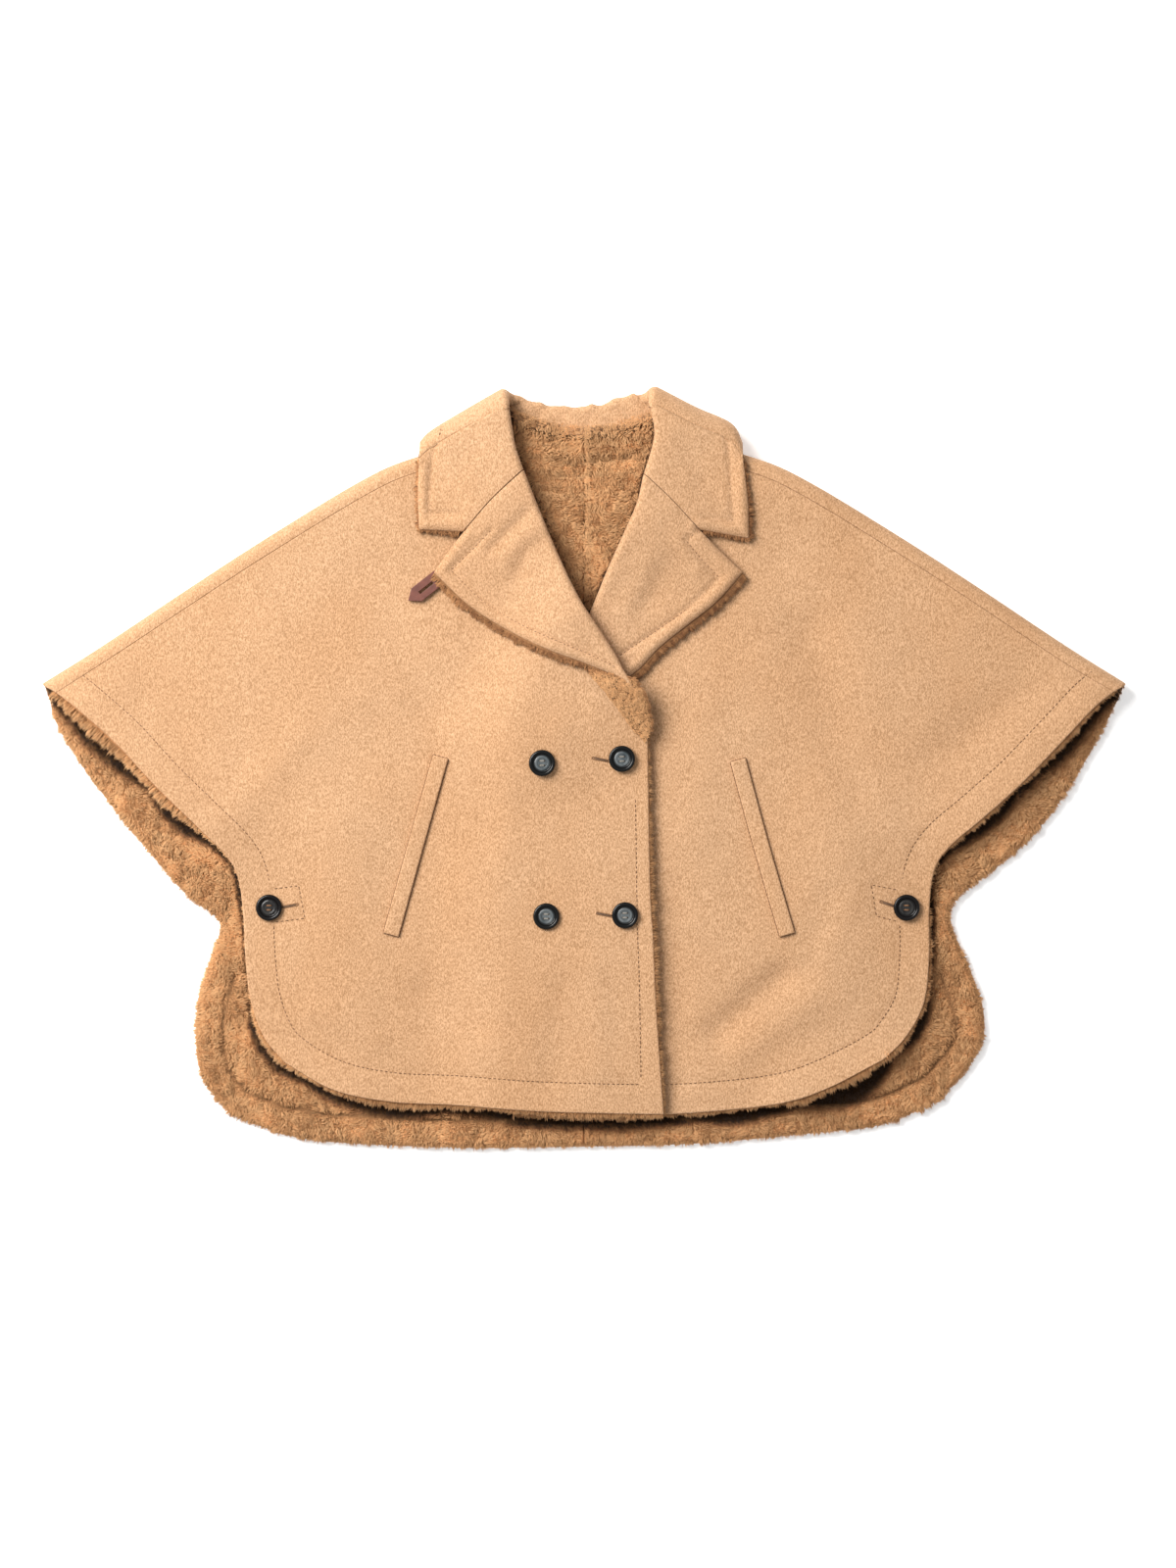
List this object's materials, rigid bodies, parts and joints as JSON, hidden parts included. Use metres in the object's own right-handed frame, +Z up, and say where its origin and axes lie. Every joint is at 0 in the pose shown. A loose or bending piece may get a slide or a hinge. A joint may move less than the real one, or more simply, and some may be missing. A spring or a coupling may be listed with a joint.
{
  "type": "wool cape",
  "caption": "Short wool cape laid flat: notched collar, double-breasted buttoned front, slanted welt pockets, open wings and a longer shearling-lined back.",
  "frame": {"origin": "on the surface that the cape lies on, below the middle of its outline", "axes": "+X towards the wearer's left wing, +Y towards the collar, +Z up out of the fronts; metres"},
  "size_m": [1.0372, 0.7296, 0.0476],
  "materials": {
    "wool": "brushed camel wool, soft nap",
    "shearling": "brown curly teddy pile",
    "horn": "polished grey-black horn",
    "dark_horn": "polished dark brown horn",
    "leather": "smooth brown leather"
  },
  "bodies": {
    "root": {"back_shell": "wool", "back_lining_right": "shearling", "back_lining_left": "shearling", "front_right_shell": "wool", "front_right_lining": "shearling", "front_left_shell": "wool", "front_left_lining": "shearling", "lapel_right_shell": "wool", "lapel_right_lining": "shearling", "lapel_left_shell": "wool", "lapel_left_lining": "shearling", "collar_shell": "wool", "collar_lining": "shearling", "pocket_welt_right": "wool", "pocket_welt_left": "wool", "button_front_upper_right": "horn", "button_front_upper_left": "horn", "button_front_lower_right": "horn", "button_front_lower_left": "horn", "button_side_right": "dark_horn", "button_side_left": "dark_horn", "lapel_tab": "leather"}
  },
  "joints": []
}
